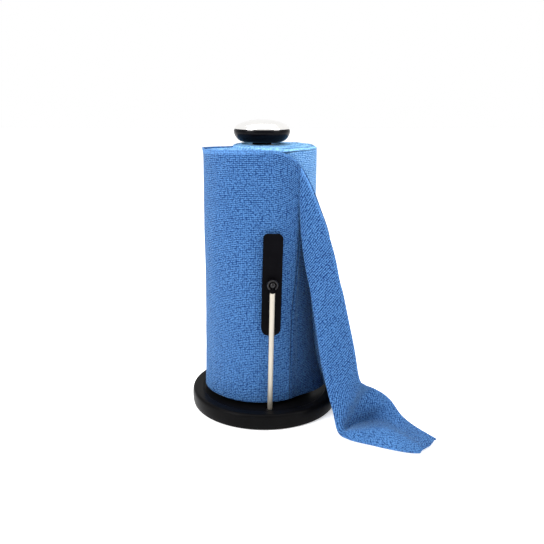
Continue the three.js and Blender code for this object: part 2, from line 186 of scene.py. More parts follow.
def node(tree, kind, **values):
    """A shader node with its settings and inputs filled in; inputs given as sockets are linked."""
    made = tree.nodes.new(kind)
    for key, value in values.items():
        if key.startswith("in_"):
            label = key[3:]
            target = made.inputs[int(label) if label.isdigit() else label.replace("_", " ")]
            if isinstance(value, bpy.types.NodeSocket):
                tree.links.new(value, target)
            else:
                target.default_value = value
        else:
            setattr(made, key, value)
    return made


def math_node(tree, operation, a, b=None, c=None, clamp=False):
    """One arithmetic node's value."""
    extra = {key: value for key, value in (("in_1", b), ("in_2", c)) if value is not None}
    return node(tree, "ShaderNodeMath", operation=operation, use_clamp=clamp, in_0=a, **extra).outputs[0]


def noise(tree, vector, scale, detail=3.0, roughness=0.55):
    """Fractal noise between 0 and 1."""
    made = node(tree, "ShaderNodeTexNoise", in_Vector=vector, in_Scale=scale, in_Detail=detail)
    made.inputs["Roughness"].default_value = roughness
    return made.outputs["Fac"]


def ramp(tree, value, stops):
    """A colour ramp through the stops given."""
    made = node(tree, "ShaderNodeValToRGB", in_Fac=value)
    elements = made.color_ramp.elements
    while len(elements) < len(stops):
        elements.new(0.5)
    for element, (place, colour) in zip(elements, stops):
        element.position = place
        element.color = (*colour, 1.0) if len(colour) == 3 else colour
    return made.outputs["Color"]


def grey(tree, value, low, high):
    """A value between 0 and 1 spread from low to high."""
    return node(tree, "ShaderNodeMapRange", in_Value=value, in_3=low, in_4=high).outputs[0]


def build_grain_group():
    """Moulded grain: fine bumps at Size per metre, a slower mottling, and a little settled dust."""
    tree, start, end = group(
        "moulded_grain",
        [("Vector", "NodeSocketVector", None), ("Size", "NodeSocketFloat", 2200.0)],
        [("Height", "NodeSocketFloat"), ("Mottle", "NodeSocketFloat"), ("Dust", "NodeSocketFloat")],
    )
    vector = start.outputs["Vector"]
    fine = node(tree, "ShaderNodeTexNoise", in_Vector=vector, in_Detail=2.0)
    tree.links.new(start.outputs["Size"], fine.inputs["Scale"])
    mottle = noise(tree, vector, 45.0, 4.0)
    specks = node(tree, "ShaderNodeTexNoise", in_Vector=vector, in_Scale=900.0, in_Detail=1.0)
    dust = node(tree, "ShaderNodeMapRange", in_Value=specks.outputs["Fac"], in_1=0.66, in_2=0.78)
    tree.links.new(fine.outputs["Fac"], end.inputs["Height"])
    tree.links.new(mottle, end.inputs["Mottle"])
    tree.links.new(dust.outputs[0], end.inputs["Dust"])
    return tree


def build_brushed_group():
    """Brush marks: noise stretched along one axis by Stretch, with a slow smudge mask."""
    tree, start, end = group(
        "brush_marks",
        [("Vector", "NodeSocketVector", None), ("Stretch", "NodeSocketVector", (1.0, 1.0, 1.0))],
        [("Lines", "NodeSocketFloat"), ("Smudge", "NodeSocketFloat")],
    )
    scaled = node(tree, "ShaderNodeVectorMath", operation="MULTIPLY", in_0=start.outputs["Vector"],
                  in_1=start.outputs["Stretch"])
    lines = noise(tree, scaled.outputs[0], 1.0, 3.0, 0.6)
    smudge = noise(tree, start.outputs["Vector"], 70.0, 3.0, 0.6)
    tree.links.new(lines, end.inputs["Lines"])
    tree.links.new(smudge, end.inputs["Smudge"])
    return tree


def build_loop_group():
    """Looped knit on the cloth's UV in metres: uneven rows, Pitch apart, broken into short loops."""
    tree, start, end = group(
        "looped_knit",
        [("Vector", "NodeSocketVector", None), ("Pitch", "NodeSocketFloat", 0.0023)],
        [("Height", "NodeSocketFloat"), ("Coarse", "NodeSocketFloat"), ("Patch", "NodeSocketFloat")],
    )
    vector = start.outputs["Vector"]
    wobble = node(tree, "ShaderNodeTexNoise", in_Vector=vector, in_Scale=220.0, in_Detail=2.0)
    shift = node(tree, "ShaderNodeVectorMath", operation="SCALE", in_0=wobble.outputs["Color"])
    shift.inputs["Scale"].default_value = 0.0011
    bent = node(tree, "ShaderNodeVectorMath", operation="ADD", in_0=vector, in_1=shift.outputs[0])
    scaled = node(tree, "ShaderNodeVectorMath", operation="SCALE", in_0=bent.outputs[0])
    tree.links.new(math_node(tree, "DIVIDE", 1.0, start.outputs["Pitch"]), scaled.inputs["Scale"])
    parts = node(tree, "ShaderNodeSeparateXYZ", in_0=scaled.outputs[0])
    phase = math_node(tree, "MULTIPLY", parts.outputs["Y"], math.pi)
    rows = math_node(tree, "ABSOLUTE", math_node(tree, "SINE", phase))
    squeeze = (0.85, 1.0, 1.0)
    squeezed = node(tree, "ShaderNodeVectorMath", operation="MULTIPLY", in_0=scaled.outputs[0],
                    in_1=squeeze)
    loops = node(tree, "ShaderNodeTexVoronoi", in_Vector=squeezed.outputs[0], in_Scale=1.0, in_Randomness=0.6)
    fibre_noise = noise(tree, scaled.outputs[0], 2.2, 1.0, 0.5)
    row_share = math_node(tree, "MULTIPLY_ADD", rows, 0.5, 0.35)
    uneven = math_node(tree, "MULTIPLY_ADD", fibre_noise, 0.7, row_share)
    height = math_node(tree, "MULTIPLY_ADD", loops.outputs["Distance"], -1.25, uneven)
    cells = node(tree, "ShaderNodeTexVoronoi", in_Vector=scaled.outputs[0], in_Scale=0.95, in_Randomness=0.6)
    coarse = math_node(tree, "MULTIPLY_ADD", cells.outputs["Distance"], -1.5, 1.25)
    patch = noise(tree, vector, 60.0, 5.0, 0.65)
    tree.links.new(height, end.inputs["Height"])
    tree.links.new(coarse, end.inputs["Coarse"])
    tree.links.new(patch, end.inputs["Patch"])
    return tree


GRAIN = build_grain_group()
BRUSHED = build_brushed_group()
LOOPS = build_loop_group()


def new_material(name, roughness, metallic=0.0):
    """A material with an empty surface; returns it with its tree, shader and coordinates."""
    made = bpy.data.materials.new(name)
    made.use_nodes = True
    tree = made.node_tree
    shader = tree.nodes["Principled BSDF"]
    shader.inputs["Roughness"].default_value = roughness
    shader.inputs["Metallic"].default_value = metallic
    return made, tree, shader, tree.nodes.new("ShaderNodeTexCoord")


def place_group(tree, which, vector, **values):
    """A shared effect placed in a material, with its own values."""
    made = tree.nodes.new("ShaderNodeGroup")
    made.node_tree = which
    tree.links.new(vector, made.inputs["Vector"])
    for key, value in values.items():
        made.inputs[key].default_value = value
    return made


def add_bump(tree, shader, height, strength, distance):
    """A bump from the height given."""
    bump = node(tree, "ShaderNodeBump", in_Height=height, in_Strength=strength, in_Distance=distance)
    tree.links.new(bump.outputs["Normal"], shader.inputs["Normal"])


def black_plastic(name, colour, roughness, grain_size, depth, dust_share=0.25, shine=0.08):
    """Black moulding: fine grain in the bump, mottled roughness, pale specks of dust in the colour."""
    made, tree, shader, coords = new_material(name, roughness)
    grain = place_group(tree, GRAIN, coords.outputs["Object"], Size=grain_size)
    dusty = tuple(c + 0.035 * dust_share for c in colour)
    tint = ramp(tree, grain.outputs["Mottle"], [(0.35, colour), (0.7, tuple(c * 1.5 for c in colour))])
    dust = math_node(tree, "MULTIPLY", grain.outputs["Dust"], dust_share)
    mixed = node(tree, "ShaderNodeMix", data_type="RGBA", in_0=dust)
    tree.links.new(tint, mixed.inputs[6])
    mixed.inputs[7].default_value = (*tuple(c + 0.05 for c in dusty), 1)
    shader.inputs["Specular IOR Level"].default_value = shine
    tree.links.new(mixed.outputs[2], shader.inputs["Base Color"])
    uneven = grey(tree, grain.outputs["Mottle"], roughness - 0.07, roughness + 0.09)
    tree.links.new(uneven, shader.inputs["Roughness"])
    add_bump(tree, shader, grain.outputs["Height"], 0.35, depth)
    return made


def metal(name, colour, roughness, stretch, line_share=0.08, depth=0.00002, anisotropic=0.0):
    """Metal with brush marks in its roughness and bump, and slow smudges in its colour."""
    made, tree, shader, coords = new_material(name, roughness, 1.0)
    marks = place_group(tree, BRUSHED, coords.outputs["Object"], Stretch=stretch)
    tint = ramp(tree, marks.outputs["Smudge"], [(0.3, tuple(c * 0.93 for c in colour)), (0.7, colour)])
    tree.links.new(tint, shader.inputs["Base Color"])
    low, high = roughness - line_share, roughness + line_share
    tree.links.new(grey(tree, marks.outputs["Lines"], low, high), shader.inputs["Roughness"])
    shader.inputs["Anisotropic"].default_value = anisotropic
    add_bump(tree, shader, marks.outputs["Lines"], 0.25, depth)
    return made


def point_mask(tree, name):
    """The value of a named attribute that the mesh carries at its points."""
    return node(tree, "ShaderNodeAttribute", attribute_name=name).outputs["Fac"]


def mix_colour(tree, share, first, second):
    """Two colours mixed by share."""
    mixed = node(tree, "ShaderNodeMix", data_type="RGBA", in_0=share)
    for socket, colour in ((mixed.inputs[6], first), (mixed.inputs[7], second)):
        if isinstance(colour, bpy.types.NodeSocket):
            tree.links.new(colour, socket)
        else:
            socket.default_value = (*colour, 1)
    return mixed.outputs[2]


def cloth_material(name, dark, light, pitch, depth, sheen):
    """Looped cloth on its UV: dark gaps, pale loop tops, a coarser strip, a selvage paler in its own colour
    and by painted sheen, and painted shade where the mesh's shade mask is high.
    """
    made, tree, shader, coords = new_material(name, 0.95)
    knit = place_group(tree, LOOPS, coords.outputs["UV"], Pitch=pitch)
    patch = math_node(tree, "MULTIPLY_ADD", knit.outputs["Patch"], 0.22, -0.11)
    fine = math_node(tree, "ADD", knit.outputs["Height"], patch, clamp=True)
    coarse = math_node(tree, "ADD", knit.outputs["Coarse"], patch, clamp=True)
    strip = point_mask(tree, "strip")
    shade = node(tree, "ShaderNodeMix", data_type="FLOAT", in_0=strip, in_2=fine, in_3=coarse).outputs[0]
    middle = tuple((a + b) / 2 for a, b in zip(dark, light))
    knit_colour = ramp(tree, shade, [(0.12, dark), (0.5, middle), (0.88, light)])
    # Paler colour through the hem mask: partly a selvage's own paler edge, partly painted sheen and painted
    # highlight where light catches edges and ridges.
    pale = tuple(min(1.0, b * 1.55 + 0.02) for b in light)
    hem_and_sheen_share = math_node(tree, "MULTIPLY_ADD", shade, 0.35, 0.55)
    hem = math_node(tree, "MULTIPLY", point_mask(tree, "hem"), hem_and_sheen_share, clamp=True)
    edged = mix_colour(tree, hem, knit_colour, pale)
    # Painted shade: where the mesh's shade mask is high, the colour goes towards a third of the dark gaps'
    # colour, standing in for shade in folds, gaps and creases.
    shadow = tuple(c * 0.35 for c in dark)
    colour_with_painted_shade = mix_colour(tree, point_mask(tree, "painted_shade_mask"), edged, shadow)
    tree.links.new(colour_with_painted_shade, shader.inputs["Base Color"])
    tree.links.new(grey(tree, knit.outputs["Patch"], 0.85, 1.0), shader.inputs["Roughness"])
    shader.inputs["Sheen Weight"].default_value = sheen
    shader.inputs["Sheen Roughness"].default_value = 0.35
    shader.inputs["Sheen Tint"].default_value = (0.5, 0.76, 1.0, 1.0)
    shader.inputs["Specular IOR Level"].default_value = 0.1
    add_bump(tree, shader, shade, 0.9, depth)
    return made


def cardboard_material():
    """Wound board: a slow spiral seam, paper fibres and a mottled grey-brown."""
    made, tree, shader, coords = new_material("core_board", 0.9)
    fibres = place_group(tree, BRUSHED, coords.outputs["Object"], Stretch=(300.0, 300.0, 2600.0))
    tint = ramp(tree, fibres.outputs["Lines"], [(0.3, (0.30, 0.22, 0.14)), (0.7, (0.47, 0.37, 0.26))])
    tree.links.new(tint, shader.inputs["Base Color"])
    add_bump(tree, shader, fibres.outputs["Smudge"], 0.4, 0.0002)
    return made


BASE_BLACK = black_plastic("base_black", (0.0022, 0.0021, 0.0023), 0.32, 1900.0, 0.00005, 0.08, 0.03)
KNOB_BLACK = black_plastic("knob_black", (0.0012, 0.0012, 0.0022), 0.20, 2600.0, 0.00002, 0.04, 0.07)
PAD_BLACK = black_plastic("pad_black", (0.0020, 0.0019, 0.0025), 0.42, 1700.0, 0.00006, 0.06, 0.015)
JOINT_BLACK = black_plastic("joint_black", (0.0020, 0.0019, 0.0025), 0.22, 2600.0, 0.00002, 0.04, 0.26)
RUBBER = black_plastic("foot_rubber", (0.006, 0.006, 0.006), 0.8, 1200.0, 0.0001, 0.5, 0.05)
ROD_STEEL = metal("rod_steel", (0.50, 0.463, 0.40), 0.62, (900.0, 900.0, 14.0), 0.05, 0.00002, 0.3)
DOME_STEEL = metal("dome_steel", (0.93, 0.92, 0.90), 0.14, (40.0, 40.0, 2600.0), 0.03, 0.00001)
PLAIN_STEEL = metal("plain_steel", (0.50, 0.51, 0.52), 0.42, (500.0, 500.0, 500.0), 0.1)
CAST_IRON = metal("cast_iron", (0.09, 0.09, 0.095), 0.68, (260.0, 260.0, 260.0), 0.12, 0.0003)
BRASS = metal("turned_brass", (0.66, 0.47, 0.22), 0.32, (60.0, 60.0, 2400.0), 0.08)
CLOTH = cloth_material("blue_cloth", (0.0055, 0.030, 0.125), (0.073, 0.200, 0.450), 0.0021, 0.0009, 0.26)
# A lit copy of the blue cloth: the wound roll is the same towel as the loose end, painted lighter to stand in
# for the overhead light on its top face and right side.
LIT_WOUND_DARK, LIT_WOUND_PALE = (0.042, 0.140, 0.37), (0.20, 0.42, 0.74)
LIT_ROLL_CLOTH = cloth_material("wound_cloth_blue_lit_copy", LIT_WOUND_DARK, LIT_WOUND_PALE, 0.0021, 0.0008, 0.35)
CARDBOARD = cardboard_material()


# ---- base and post ----
def add_base():
    """The dish: a closed profile turned about Z, then the arm's slot cut through its floor."""
    corners = [
        [84.6, 13.5], [86.9, 12.0], [86.9, 1.2], [88.9, 1.2], [89.9, 6.0], [90.0, 13.0], [89.6, 17.6],
        [87.8, 19.7], [82.5, 19.4], [76.8, 18.8], [75.9, 16.5], [70.0, 16.5], [4.4, 16.5], [4.4, 13.5],
        [84.6, 13.5],
    ]
    radii = [0.8, 0.5, 0.5, 3.0, 4.0, 2.4, 2.2, 2.4, 0.9, 0.8, 0.2, 0.2, 0.2]
    profile = soften(corners, radii)[:-1]
    verts, faces = revolve(profile, 224, closed=True)
    shell = make_piece("base_shell", verts, faces, BASE_BLACK, "base")
    x, y = np.array([-2.8, 5.6]), np.array([-68.4, -57.9])
    z = np.array([10.0, 22.0])
    box = np.stack(np.meshgrid(x, y, z, indexing="ij"), -1).reshape(-1, 3)
    sides = np.array([[0, 1, 3, 2], [4, 6, 7, 5], [0, 4, 5, 1], [2, 3, 7, 6], [0, 2, 6, 4], [1, 5, 7, 3]])
    cutter = make_piece("slot_cutter", box, sides, BASE_BLACK, "base", sharp=0)
    cut = shell.modifiers.new("arm_slot", "BOOLEAN")
    cut.operation = "DIFFERENCE"
    cut.object = cutter
    bake_modifiers(shell)
    bpy.data.objects.remove(cutter)
    shell.data.set_sharp_from_angle(angle=math.radians(35))
    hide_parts("base_housing")


def bake_modifiers(piece):
    """Replaces a piece's mesh by its evaluated mesh, so that no modifier is left."""
    evaluated = piece.evaluated_get(bpy.context.evaluated_depsgraph_get())
    mesh = bpy.data.meshes.new_from_object(evaluated)
    piece.modifiers.clear()
    piece.data = mesh


def add_turned(name, profile, material, body, cad, centre=(0, 0), segments=96, closed=True):
    """A profile turned about an upright axis, standing in for one node."""
    verts, faces = revolve(profile, segments, closed)
    verts = verts + np.array([centre[0], centre[1], 0])
    piece = make_piece(name, verts, faces, material, body)
    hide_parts(cad)
    return piece


def add_post():
    """The post tube and the roll's card core."""
    on_post = (POST_X, POST_Y)
    tube = soften([[7.8, 16.8], [9, 16.8], [9, 316.0], [7.8, 316.0], [7.8, 16.8]], 0.3, 3)[:-1]
    add_turned("post_sleeve", tube, ROD_STEEL, "base", "post_tube", on_post)
    core = soften([[21.4, 17.0], [22.9, 17.0], [22.9, 315.0], [21.4, 315.0], [21.4, 17.0]], 0.3, 3)[:-1]
    add_turned("card_core", core, CARDBOARD, "roll", "roll_core", (ROLL_X, ROLL_Y), 128)
    glide = soften([[4.4, 317.5], [11, 317.5], [11, 319.1], [4.4, 319.1], [4.4, 317.5]], 0.3, 3)[:-1]
    add_turned("knob_washer", glide, PAD_BLACK, "knob_lift", "knob_glide", on_post)


# ---- knob ----
def dome(radius, low, high, steps=40):
    """Superellipse dome: r = radius (1 - t^1.75)^(1/2.1), where t is the height share, from rim to top."""
    t = np.sin(np.linspace(0, np.pi / 2, steps))
    r = radius * np.clip(1 - t**1.75, 0, 1) ** (1 / 2.1)
    return np.stack([r, low + (high - low) * t], -1)


def add_knob():
    """A bowl-shaped grip with a bright cap of the same width, parted by a fine groove."""
    on_post = (POST_X, POST_Y)
    flank = soften([
        [21.4, 320.2], [24.2, 320.7], [27.6, 322.7], [30.2, 325.7], [31.8, 329.2], [32.3, 332.0],
        [32.1, 333.6], [31.4, 334.6], [29.4, 334.7],
    ], [1.4, 2.0, 2.0, 2.0, 1.6, 1.0, 0.5], 4)
    under = dome(29.4, KNOB_SPLIT - 0.2, KNOB_TOP - 1.5, 16)
    bore = [[0, 333.3], [4.4, 333.3], [4.4, 319.5], [12, 319.5], [18, 320.2]]
    profile = np.vstack([bore, flank, under[1:]])
    add_turned("knob_grip", profile, KNOB_BLACK, "knob", "knob_body", on_post, 160, False)
    outer = dome(31.3, KNOB_SPLIT, KNOB_TOP)
    inner = dome(29.9, KNOB_SPLIT, KNOB_TOP - 1.0)[::-1]
    shell = np.vstack([inner, [[30.6, KNOB_SPLIT - 0.25]], outer])
    add_turned("knob_dome", shell, DOME_STEEL, "knob", "knob_cap", on_post, 160, False)


# ---- arm ----
def add_arm():
    """The rod, its black end and the ball, turned about the rod's own line."""
    length = float(np.linalg.norm(BALL_CENTRE - ARM_FOOT))
    direction = (BALL_CENTRE - ARM_FOOT) / length
    end = length - 9.4

    def along(name, profile, material, cad, slot, segments=48):
        """A profile turned about the rod's line."""
        verts, faces = revolve(profile, segments)
        piece = make_piece(name, onto_line(verts, ARM_FOOT, direction), faces, material, "arm")
        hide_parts(cad)

    bar = soften([[0, 3.1], [2.9, 3.1], [2.9, end], [0, end]], 0.4)
    along("arm_bar", bar, ROD_STEEL, "arm_rod", "steel")
    tip = soften([[0, end + 0.3], [3.15, end + 0.3], [3.15, end + 3.4], [2.2, length - 4.2],
                  [0, length - 4.2]], 0.5)
    along("arm_ferrule", tip, PAD_BLACK, "arm_tip", "black_plastic")
    t = np.linspace(-np.pi / 2, np.pi / 2, 33)
    ball = np.stack([3.9 * np.cos(t), length + 3.9 * np.sin(t)], -1)
    ball = ball[ball[:, 1] > length - 3.5]
    stem = [[0, length - 7], [1.5, length - 7], [1.5, length - 3.7]]
    stud = np.vstack([stem, ball[:-1], [[0, length + 3.9]]])
    along("ball_end", stud, JOINT_BLACK, "ball_stud", "black_plastic")


# ---- pad ----
def plate_outline(half_w, half_h, top, bottom, arc=14, side=24, end=8):
    """A rectangle's outline with rounded corners, as equal numbers of points for any size, anticlockwise."""
    quarter = np.linspace(0, np.pi / 2, arc)
    corner_sets = [
        (half_w - bottom, -half_h + bottom, bottom, -np.pi / 2), (half_w - top, half_h - top, top, 0),
        (-half_w + top, half_h - top, top, np.pi / 2), (-half_w + bottom, -half_h + bottom, bottom, np.pi),
    ]
    arcs = [
        np.stack([x + r * np.cos(a + quarter), z + r * np.sin(a + quarter)], -1) for x, z, r, a in corner_sets
    ]
    parts = []
    for i, count in enumerate((side, end, side, end)):
        parts.append(arcs[i])
        share = np.linspace(0, 1, count + 2)[1:-1, None]
        parts.append(arcs[i][-1] * (1 - share) + arcs[(i + 1) % 4][0] * share)
    return np.vstack(parts)


def plate(half_w, half_h, top, bottom, back, front, edge, crown):
    """A plate in the XZ plane: its outline shrinks over rounded edges and closes on its middle."""
    a = np.linspace(0, np.pi / 2, 7)
    inset = edge * (1 - np.cos(a))[::-1]
    rise = edge * (1 - np.sin(a))[::-1]
    shrink = np.array([2.5, 5.5, half_w - edge - 0.4])
    depth_back = np.concatenate([np.full(3, back), back - rise])
    depth_front = np.concatenate([front + rise[::-1], np.full(3, front)])
    depths = np.concatenate([depth_back, depth_front])
    insets = np.concatenate([edge + shrink[::-1], inset[::-1], inset, edge + shrink])
    crowns = np.concatenate([np.zeros(3 + 7 + 7), crown * np.array([0.35, 0.75, 1.0])])
    rows = []
    for d, y, c in zip(insets, depths, crowns):
        line = plate_outline(half_w - d, half_h - d, max(top - d, 0.3), max(bottom - d, 0.3))
        rows.append(np.stack([line[:, 0], np.full(len(line), y - c), line[:, 1]], -1))
    rows = np.array(rows)
    n = rows.shape[1]
    faces = grid_faces(len(rows), n, True)[:, ::-1]
    caps = [np.arange(n)[None, :], (np.arange(n) + (len(rows) - 1) * n)[None, ::-1]]
    return rows.reshape(-1, 3), [faces, *caps]


def add_pad():
    """The pad's plate and lining."""
    back = -56.6 - 1.9 - 0.3 - BALL_CENTRE[1]
    verts, faces = plate(11.1, 59.1, 5.5, 9.0, back, back - 4.0, 1.3, 0.0)
    verts = verts - np.array([0, 0, PAD_DROP])
    shell = make_piece("pad_shell", onto_pad(verts), faces, PAD_BLACK, "pad")
    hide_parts("pad_plate")
    front = -56.6 - BALL_CENTRE[1]
    verts, faces = plate(10.3, 58.3, 4.7, 8.2, front, front - 1.9, 0.5, 0.0)
    verts = verts - np.array([0, 0, PAD_DROP])
    lining = make_piece("pad_lining", onto_pad(verts), faces, RUBBER, "pad")
    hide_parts("pad_face")
    add_socket(back)


def add_socket(back):
    """The socket: a rounded section (radius, depth) turned round the ball's Y axis, open at the bottom."""
    deep = back - 4.3
    corners = [[4.25, deep], [6.6, deep], [6.6, -1.6], [5.9, -3.1], [4.4, -3.1], [4.0, -1.2], [4.25, deep]]
    section = soften(corners, 0.7, 5)[:-1]
    opening = math.radians(33)
    angle = np.linspace(-np.pi / 2 + opening, 1.5 * np.pi - opening, 72)
    x = section[None, :, 0] * np.cos(angle)[:, None]
    z = section[None, :, 0] * np.sin(angle)[:, None]
    rows = np.stack([x, np.broadcast_to(section[None, :, 1], x.shape), z], -1)
    n = rows.shape[1]
    faces = grid_faces(len(rows), n, True)
    caps = [np.arange(n)[None, :], (np.arange(n) + (len(rows) - 1) * n)[None, ::-1]]
    points = onto_pad(rows.reshape(-1, 3))
    ring = make_piece("ball_socket", points, [faces, *caps], JOINT_BLACK, "pad", sharp=35)
    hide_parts("socket_ring")


# ---- cloth ----
def ripple(u, v, seed, waves=9):
    """Smooth unevenness between -1 and 1: a sum of sines with fixed pseudo-random directions and phases."""
    rng = np.random.default_rng(seed)
    total = np.zeros(np.broadcast(u, v).shape)
    for _ in range(waves):
        fu, fv = rng.uniform(-1, 1, 2)
        total += np.sin(2 * np.pi * (fu * u + fv * v) + rng.uniform(0, 2 * np.pi))
    return total / math.sqrt(waves) / 1.6


def smoothstep(x, low, high):
    """0 below low, 1 above high, and 3t^2 - 2t^3 between."""
    t = np.clip((x - low) / (high - low), 0, 1)
    return t * t * (3 - 2 * t)


ROLL_STOPS = [-12.0, 0.0, 250.0]
ABOVE_RIM = 20.9
FAR_COLUMNS, NEAR_COLUMNS = 130, 150
TIGHT_OFFSET = np.array([15.7, -12.4])
TIGHT_RADIUS = 50.0
TIGHT_LIMIT = 65.6


def tight_radius(azimuth):
    """The tight windings' outline: a circle set off-centre, held inside the outer turn."""
    a = np.radians(azimuth)
    along = TIGHT_OFFSET[0] * np.sin(a) - TIGHT_OFFSET[1] * np.cos(a)
    circle = along + np.sqrt(TIGHT_RADIUS**2 - np.sum(TIGHT_OFFSET**2) + along**2)
    return -2.0 * np.log(np.exp(-circle / 2.0) + math.exp(-TIGHT_LIMIT / 2.0))


def turn_radius(azimuth):
    """The outer turn's plain radius: WRAP_RADIUS in front, folded in behind the left side."""
    lying = tight_radius(azimuth) + 1.7
    return WRAP_RADIUS + (lying - WRAP_RADIUS) * smoothstep(azimuth, -86, -112)


def add_wound_roll():
    """The windings: a high ridged top face, a shelf of loose ones round it, a side and a bore, with a painted
    highlight on the ridges and painted shade in a gap and on the shelf.
    """
    segments = 320
    angle = np.linspace(0, 2 * np.pi, segments, endpoint=False)[None, :]
    azimuth = (np.degrees(angle) + 205) % 360 - 205
    tight = tight_radius(azimuth)
    covered = smoothstep(azimuth, 44, 30)
    outline = tight + covered * np.maximum(turn_radius(azimuth) - 1.7 - tight, 0)
    step = smoothstep(outline - tight, 0.2, 3.0)

    share = np.linspace(0, 1, 130)[:, None]
    phase = share * 13 - angle / (2 * np.pi)
    layer = np.floor(phase)
    ridge = np.abs(np.sin(np.pi * phase)) ** 0.5
    slip = 0.5 * np.sin(layer * 2.4) + 0.3 * np.sin(layer * 5.1 + 1.0)
    inside = smoothstep(share, 0.5, 0.15)
    top = 316.0 + 1.3 * inside - 0.9 * smoothstep(share, 0.35, 1.0) + (0.9 - 0.5 * inside) * ridge
    top = top + slip * (1 - 0.8 * inside) + 0.4 * ripple(angle * 3, share * 3, 5) * (1 - 0.6 * inside)
    top = top - 1.6 * smoothstep(share, 0.96, 1.0)
    r_top = 23.3 + (tight - 0.8 - 23.3) * share

    out = np.linspace(0.03, 0.97, 30)[:, None]
    low_ridge = np.abs(np.sin(np.pi * (out * 3.0 - angle / (2 * np.pi)))) ** 0.6
    drop = 3.2 + 6.0 * smoothstep(azimuth, -50, -15) - 1.3 * low_ridge
    shelf = top[-1:] - step * drop * smoothstep(out, 0, 0.08)
    r_shelf = tight - 0.8 + (outline - tight + 0.5) * out

    down = np.linspace(0, 1, 90)[:, None]
    z_side = (shelf[-1:] - 0.9) * (1 - down) + (ROLL_BOTTOM + 1.2) * down
    bulk = outline + 0.30 * ripple(angle * 2.2 + 0 * z_side, z_side / 90, 8)
    bulk = bulk + 0.12 * ripple(angle * 30, z_side / 9, 12) - 3.2 * covered * smoothstep(z_side, 306, 285)
    edge = 0.8 * smoothstep(z_side, 26, 20) + 0.3 * smoothstep(z_side, 309, 314)
    low_share = np.array([0.96, 0.85, 0.7, 0.5, 0.02, 0.0, 0.0, 0.0])[:, None]
    low_z = np.array([20.4, 20.2, 18.6, 17.6, 17.4, 17.8, 60, 180])[:, None]
    r_low = 23.25 + (np.minimum(outline, 60.0) - 23.25) * low_share
    r = np.vstack([r_top, r_shelf, bulk - edge, r_low])
    z = np.vstack([top, shelf, z_side, low_z + 0 * angle])
    verts = np.stack([ROLL_X + r * np.sin(angle), ROLL_Y - r * np.cos(angle), z], -1)
    rows, n = r.shape
    faces = grid_faces(rows, n, True)[:, ::-1]
    k = np.arange(n)
    last = (rows - 1) * n
    join = np.stack([last + k, last + (k + 1) % n, (k + 1) % n, k], -1)[:, ::-1]
    across = np.vstack([r_top + 300, r_shelf + 300, z_side - 40, r_low])
    uv = np.stack([np.broadcast_to(angle * 56.0, r.shape), across], -1).reshape(-1, 2)
    # Painted highlight: the ridges of the top face and the shelf go paler through the hem mask, standing in
    # for overhead light on the windings.
    pale = np.vstack([
        0.75 * ridge * np.ones_like(r_top), 0.5 * low_ridge * np.ones_like(r_shelf), 0 * z_side, 0 * r_low,
    ])
    # Painted shade: a dark line in the gap near the top face's outer edge on the right, and the shelf in
    # front darkened, where shade falls between the outer turn and the windings.
    on_right = smoothstep(azimuth, 8, 25) * smoothstep(azimuth, 100, 84)
    in_front = smoothstep(azimuth, -40, -15) * smoothstep(azimuth, 60, 46)
    gap_shade = np.vstack([
        0.85 * np.exp(-(((share - 0.90) / 0.03) ** 2)) * on_right,
        0.9 * in_front * np.ones_like(r_shelf),
        0 * z_side,
        0 * r_low,
    ])
    masks = {"hem": pale, "strip": 0 * pale, "painted_shade_mask": gap_shade}
    points, all_faces = verts.reshape(-1, 3), np.vstack([faces, join])
    piece = make_piece("wound_cloth", points, all_faces, LIT_ROLL_CLOTH, "roll", uv, 0, masks)
    fix_seam(piece, 2 * math.pi * 56.0 * MM)
    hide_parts("towel_roll")


def fix_seam(piece, turn):
    """On faces that join the last column to the first, moves the first column's U one turn on."""
    mesh = piece.data
    layer = mesh.uv_layers["cloth"]
    uv = np.zeros(len(mesh.loops) * 2)
    layer.data.foreach_get("uv", uv)
    uv = uv.reshape(-1, 2)
    face_u = uv[:, 0].reshape(-1, 4)
    jump = (face_u.max(1) - face_u.min(1)) > turn / 2
    lift = (face_u < turn / 2) & jump[:, None]
    uv[:, 0] += lift.ravel() * turn
    layer.data.foreach_set("uv", uv.ravel())


# The loose end's outline, key by key: front fold, outer selvage. Millimetres.
FRONT_FOLD = np.array([
    [35.4, -45.6, 294.0], [34.4, -46.4, 284.0], [34.2, -46.2, 266.0], [36.1, -48.4, 239.0],
    [38.5, -51.4, 207.0], [44.1, -58.3, 174.0], [48.3, -63.8, 152.0], [55.8, -73.5, 99.0],
    [64.4, -84.5, 54.4], [70.8, -93.4, 28.2], [76.6, -105.6, 4.4], [85.5, -117.2, 2.6],
    [98.0, -124.8, 2.4], [113.0, -133.1, 2.4], [131.0, -142.4, 2.4], [146.0, -149.2, 2.4],
    [157.5, -151.7, 2.4],
])
OUTER_SELVAGE = np.array([
    [36.0, -46.6, 295.3], [42.2, -50.6, 284.0], [50.5, -54.8, 266.0], [61.0, -60.4, 239.0],
    [70.8, -65.5, 207.0], [78.6, -69.7, 174.0], [83.6, -72.3, 152.0], [95.1, -78.3, 99.8],
    [102.8, -82.0, 60.0], [110.0, -76.6, 49.0], [119.9, -69.9, 42.0], [131.2, -69.1, 35.5],
    [141.4, -70.6, 27.5], [149.0, -78.0, 18.0], [154.6, -89.4, 12.0], [166.0, -103.9, 6.5],
    [183.1, -127.5, 3.2],
])
